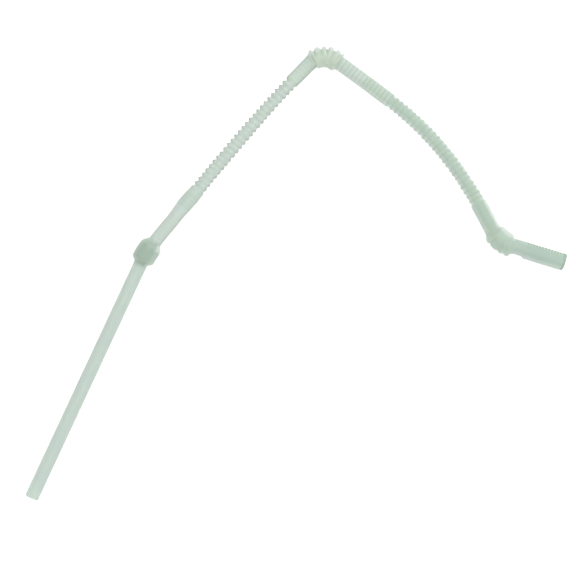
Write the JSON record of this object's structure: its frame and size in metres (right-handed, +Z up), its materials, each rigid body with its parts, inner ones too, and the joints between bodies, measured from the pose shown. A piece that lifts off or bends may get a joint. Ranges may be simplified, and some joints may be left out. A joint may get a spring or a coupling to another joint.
{
  "type": "flexible drinking straw",
  "caption": "Long flexible drinking straw of translucent plastic, bent into a hook, with pleated stretches, wide bellows knuckles at the bends and a wider mouthpiece.",
  "frame": {"origin": "bottom centre of the straw's bounding box as it lies flat, on the surface under its knuckles", "axes": "+Z up from the surface the straw lies on; +X along its longest extent, from the lower leg towards the mouthpiece; +Y towards the elbow"},
  "size_m": [0.314, 0.265, 0.0135],
  "materials": {
    "straw_plastic": "milky translucent satin"
  },
  "bodies": {
    "root": {"straw": "straw_plastic"}
  },
  "joints": []
}
